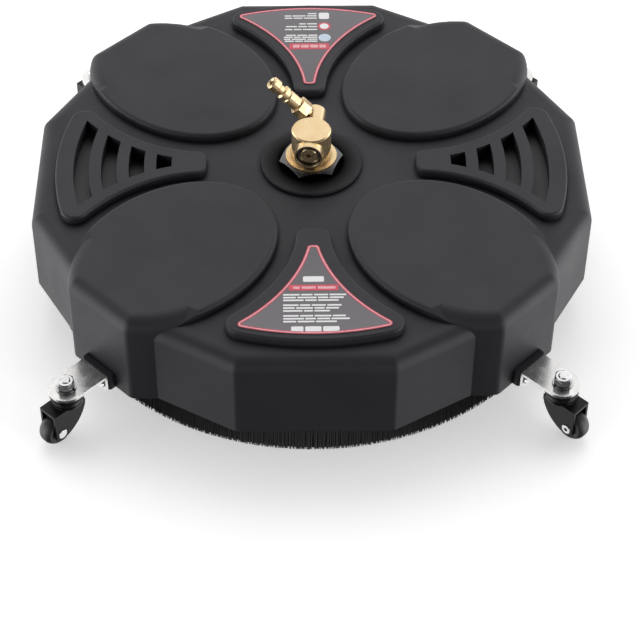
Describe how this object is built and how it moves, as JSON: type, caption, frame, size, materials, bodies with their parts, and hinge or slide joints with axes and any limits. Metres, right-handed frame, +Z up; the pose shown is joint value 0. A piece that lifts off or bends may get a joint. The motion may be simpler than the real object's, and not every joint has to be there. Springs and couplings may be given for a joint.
{
  "type": "pressure washer surface cleaner",
  "caption": "Round twelve-sided surface cleaner deck with a spinning spray bar, brush skirt, swivel casters and a tilting brass quick-plug inlet.",
  "frame": {"origin": "on the floor under the hub axis", "axes": "+Z up along the rotor axis, -Y towards the front label, +X to the right"},
  "size_m": [0.462, 0.462, 0.1758],
  "materials": {
    "housing_plastic": "fine-grained matte black moulding",
    "label_film": "printed satin film with a red outline",
    "black_rubber": "matte",
    "black_nut": "satin black oxide",
    "yellow_brass": "machined, lightly polished",
    "plated_steel": "bright zinc or chrome plate",
    "stainless": "brushed stainless sheet",
    "bearing_steel": "ground",
    "seal_polymer": "moulded seal compound",
    "carrier_plastic": "extruded matte plastic",
    "bristle_nylon": "dense black nylon filaments",
    "arm_stainless": "drawn stainless tube",
    "fork_plastic": "glossy black moulding",
    "wheel_plastic": "dark grey satin wheel",
    "black_cup": "black ridged pressed steel"
  },
  "bodies": {
    "deck": {"housing": "housing_plastic", "vent_baffles": "housing_plastic", "front_label": "label_film", "rear_label": "label_film", "swivel_body": "yellow_brass", "clamp_nut": "black_nut", "hub_gasket": "black_rubber", "lower_washer": "plated_steel", "lower_nut": "yellow_brass", "outer_races": "bearing_steel", "race_spacer": "stainless", "bore_circlip": "plated_steel", "high_pressure_seal": "seal_polymer", "brush_carrier": "carrier_plastic", "brush_bristles": "bristle_nylon", "carrier_screws": "plated_steel", "bracket_bolts": "plated_steel", "bracket_nuts": "plated_steel", "caster_studs": "plated_steel", "caster_upper_races": "black_cup", "caster_washers": "plated_steel", "caster_spring_washers": "plated_steel", "caster_nuts": "plated_steel", "caster_bracket_rear_right": "stainless", "caster_bracket_rear_left": "stainless", "caster_bracket_front_left": "stainless", "caster_bracket_front_right": "stainless"},
    "inlet": {"pivot_stem": "yellow_brass", "pivot_washer": "plated_steel", "pivot_circlip": "plated_steel", "pivot_orings": "black_rubber", "quick_plug": "yellow_brass"},
    "rotor": {"rotor_shaft": "stainless", "inner_races": "bearing_steel", "shaft_circlip": "plated_steel", "bearing_balls": "bearing_steel", "rotor_manifold": "yellow_brass", "spray_arm_left": "arm_stainless", "spray_arm_right": "arm_stainless", "nozzle_holder_left": "yellow_brass", "nozzle_holder_right": "yellow_brass", "nozzle_left": "plated_steel", "nozzle_right": "plated_steel"},
    "caster_rear_right": {"caster_fork_rear_right": "fork_plastic", "caster_race_rear_right": "black_cup", "caster_axle_rear_right": "plated_steel"},
    "wheel_rear_right": {"caster_wheel_rear_right": "wheel_plastic"},
    "caster_rear_left": {"caster_fork_rear_left": "fork_plastic", "caster_race_rear_left": "black_cup", "caster_axle_rear_left": "plated_steel"},
    "wheel_rear_left": {"caster_wheel_rear_left": "wheel_plastic"},
    "caster_front_left": {"caster_fork_front_left": "fork_plastic", "caster_race_front_left": "black_cup", "caster_axle_front_left": "plated_steel"},
    "wheel_front_left": {"caster_wheel_front_left": "wheel_plastic"},
    "caster_front_right": {"caster_fork_front_right": "fork_plastic", "caster_race_front_right": "black_cup", "caster_axle_front_right": "plated_steel"},
    "wheel_front_right": {"caster_wheel_front_right": "wheel_plastic"}
  },
  "joints": [
    {"name": "inlet_tilt", "type": "hinge", "parent": "deck", "child": "inlet", "pos_m": [0, 0, 0.1355], "axis": [0.1219, 0.9925, 0], "range_deg": [-60, 150]},
    {"name": "rotor_spin", "type": "hinge", "parent": "deck", "child": "rotor", "pos_m": [0, 0, 0.1], "axis": [0, 0, 1], "continuous": true},
    {"name": "swivel_rear_right", "type": "hinge", "parent": "deck", "child": "caster_rear_right", "pos_m": [0.19658, 0.19658, 0.0373], "axis": [0, 0, 1], "continuous": true},
    {"name": "roll_rear_right", "type": "hinge", "parent": "caster_rear_right", "child": "wheel_rear_right", "pos_m": [0.20739, 0.20739, 0.013], "axis": [-0.7071, 0.7071, 0], "continuous": true},
    {"name": "swivel_rear_left", "type": "hinge", "parent": "deck", "child": "caster_rear_left", "pos_m": [-0.19658, 0.19658, 0.0373], "axis": [0, 0, 1], "continuous": true},
    {"name": "roll_rear_left", "type": "hinge", "parent": "caster_rear_left", "child": "wheel_rear_left", "pos_m": [-0.20739, 0.20739, 0.013], "axis": [-0.7071, -0.7071, 0], "continuous": true},
    {"name": "swivel_front_left", "type": "hinge", "parent": "deck", "child": "caster_front_left", "pos_m": [-0.19658, -0.19658, 0.0373], "axis": [0, 0, 1], "continuous": true},
    {"name": "roll_front_left", "type": "hinge", "parent": "caster_front_left", "child": "wheel_front_left", "pos_m": [-0.20739, -0.20739, 0.013], "axis": [0.7071, -0.7071, 0], "continuous": true},
    {"name": "swivel_front_right", "type": "hinge", "parent": "deck", "child": "caster_front_right", "pos_m": [0.19658, -0.19658, 0.0373], "axis": [0, 0, 1], "continuous": true},
    {"name": "roll_front_right", "type": "hinge", "parent": "caster_front_right", "child": "wheel_front_right", "pos_m": [0.20739, -0.20739, 0.013], "axis": [0.7071, 0.7071, 0], "continuous": true}
  ]
}
